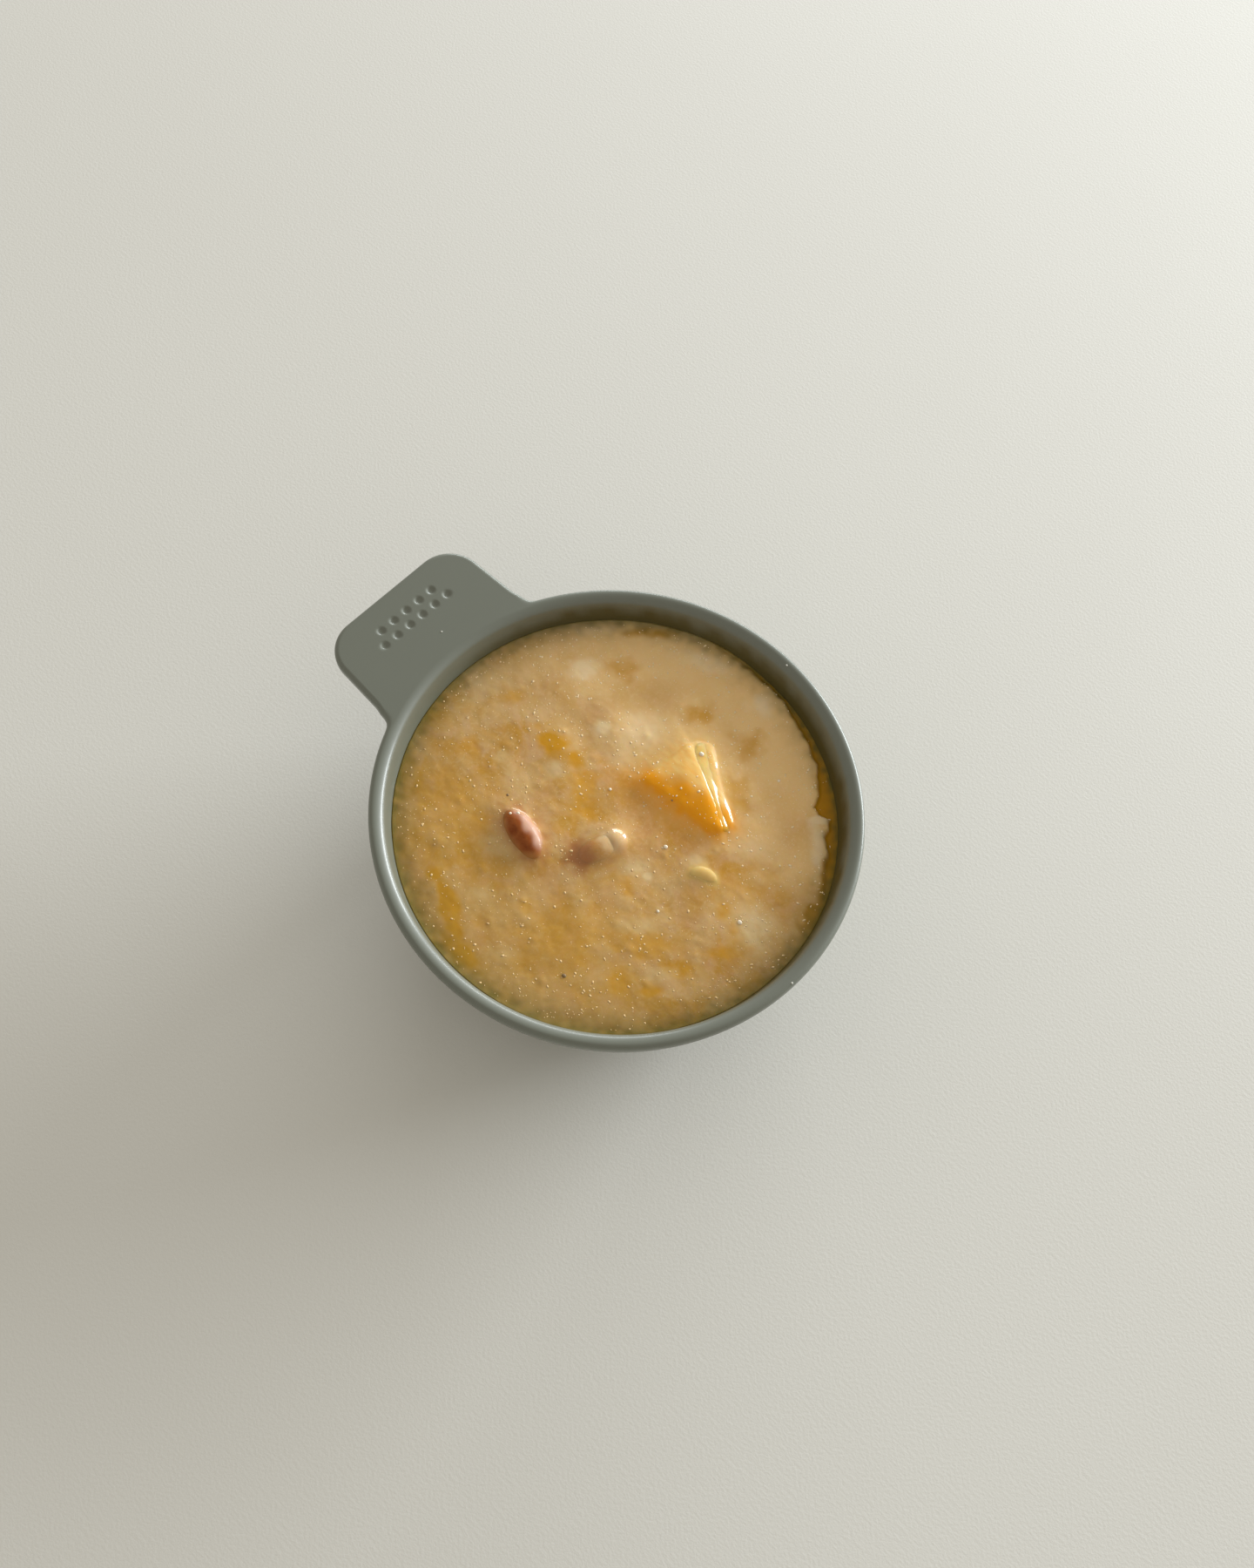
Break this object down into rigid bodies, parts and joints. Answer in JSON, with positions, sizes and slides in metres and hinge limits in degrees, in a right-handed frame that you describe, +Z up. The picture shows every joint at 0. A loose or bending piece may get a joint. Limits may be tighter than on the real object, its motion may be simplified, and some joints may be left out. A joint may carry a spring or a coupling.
{
  "type": "bowl of pumpkin porridge",
  "caption": "Small round bowl with a flat tab handle, filled with pumpkin porridge in which a pumpkin chunk, beans and a pale sliver lie.",
  "frame": {"origin": "centre of the foot's underside, on the bowl's axis", "axes": "+Z up along the bowl's axis, +X along the tab handle"},
  "size_m": [0.1243, 0.105, 0.042],
  "materials": {
    "bowl": "satin grey-green moulded silicone or plastic",
    "porridge": "wet tan-yellow porridge with fine pale specks",
    "pumpkin": "wet cooked pumpkin flesh",
    "bean": "cooked red bean skin",
    "bean_dark": "cooked red bean under a film of porridge",
    "squash_pale": "pale yellow squash flesh"
  },
  "bodies": {
    "root": {"bowl": "bowl", "porridge": "porridge", "pumpkin_chunk": "pumpkin", "bean_left": "bean", "bean_right": "bean_dark", "pale_sliver": "squash_pale"}
  },
  "joints": []
}
